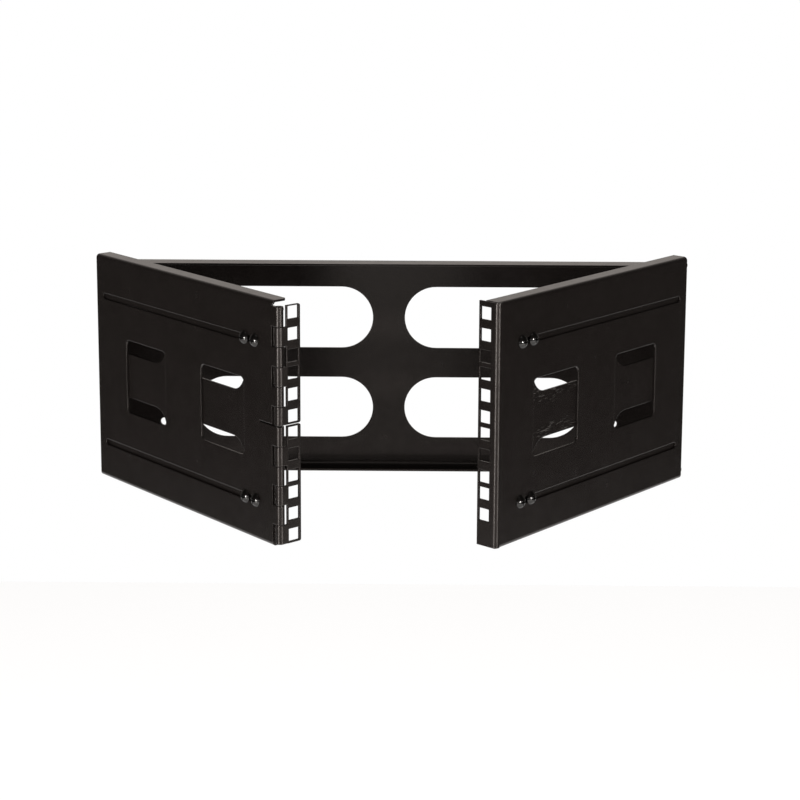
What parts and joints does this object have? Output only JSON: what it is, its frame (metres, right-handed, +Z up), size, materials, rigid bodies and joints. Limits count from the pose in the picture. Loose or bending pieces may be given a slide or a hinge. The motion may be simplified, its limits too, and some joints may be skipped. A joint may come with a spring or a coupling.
{
  "type": "wall mount rack",
  "caption": "Open frame wall rack: a back plate with obround openings carries two folding arms that slide out, one with hinged equipment rails and one with a fixed flange.",
  "frame": {"origin": "centre of the four wall holes, on the wall face of the back plate", "axes": "+Y into the wall, -Y out of it, +Z up, +X to the right as seen from the front"},
  "size_m": [0.4746, 0.2043, 0.184],
  "materials": {
    "black_paint": "smooth satin black powder coat",
    "black_plating": "glossy black plating"
  },
  "bodies": {
    "back": {"back_plate": "black_paint", "left_upper_pivot_bolt": "black_plating", "left_upper_pivot_washer": "black_plating", "left_upper_pivot_nut": "black_plating", "left_lower_pivot_bolt": "black_plating", "left_lower_pivot_washer": "black_plating", "left_lower_pivot_nut": "black_plating", "right_upper_pivot_bolt": "black_plating", "right_upper_pivot_washer": "black_plating", "right_upper_pivot_nut": "black_plating", "right_lower_pivot_bolt": "black_plating", "right_lower_pivot_washer": "black_plating", "right_lower_pivot_nut": "black_plating"},
    "left_arm": {"left_inner_plate": "black_paint", "left_upper_rear_screw": "black_plating", "left_upper_rear_nut": "black_plating", "left_upper_front_screw": "black_plating", "left_upper_front_nut": "black_plating", "left_lower_rear_screw": "black_plating", "left_lower_rear_nut": "black_plating", "left_lower_front_screw": "black_plating", "left_lower_front_nut": "black_plating"},
    "left_extension": {"left_outer_plate": "black_paint", "upper_hinge_pin": "black_paint", "lower_hinge_pin": "black_paint"},
    "right_arm": {"right_inner_plate": "black_paint", "right_upper_rear_screw": "black_plating", "right_upper_rear_nut": "black_plating", "right_upper_front_screw": "black_plating", "right_upper_front_nut": "black_plating", "right_lower_rear_screw": "black_plating", "right_lower_rear_nut": "black_plating", "right_lower_front_screw": "black_plating", "right_lower_front_nut": "black_plating"},
    "right_extension": {"right_outer_plate": "black_paint"},
    "upper_rail": {"upper_rail": "black_paint"},
    "lower_rail": {"lower_rail": "black_paint"}
  },
  "joints": [
    {"name": "left_fold", "type": "hinge", "parent": "back", "child": "left_arm", "pos_m": [-0.22885, -0.0083, 0], "axis": [0, 0, -1], "range_deg": [-23, 41]},
    {"name": "right_fold", "type": "hinge", "parent": "back", "child": "right_arm", "pos_m": [0.23325, -0.0083, 0], "axis": [0, 0, 1], "range_deg": [-23, 41]},
    {"name": "left_slide", "type": "slide", "parent": "left_arm", "child": "left_extension", "axis": [0.6561, -0.7547, 0], "range_m": [0, 0.186]},
    {"name": "right_slide", "type": "slide", "parent": "right_arm", "child": "right_extension", "axis": [-0.6561, -0.7547, 0], "range_m": [0, 0.186]},
    {"name": "upper_rail_swing", "type": "hinge", "parent": "left_extension", "child": "upper_rail", "pos_m": [-0.0756, -0.2009, 0], "axis": [0, 0, -1], "range_deg": [0, 175]},
    {"name": "lower_rail_swing", "type": "hinge", "parent": "left_extension", "child": "lower_rail", "pos_m": [-0.0756, -0.2009, 0], "axis": [0, 0, -1], "range_deg": [0, 175]}
  ]
}
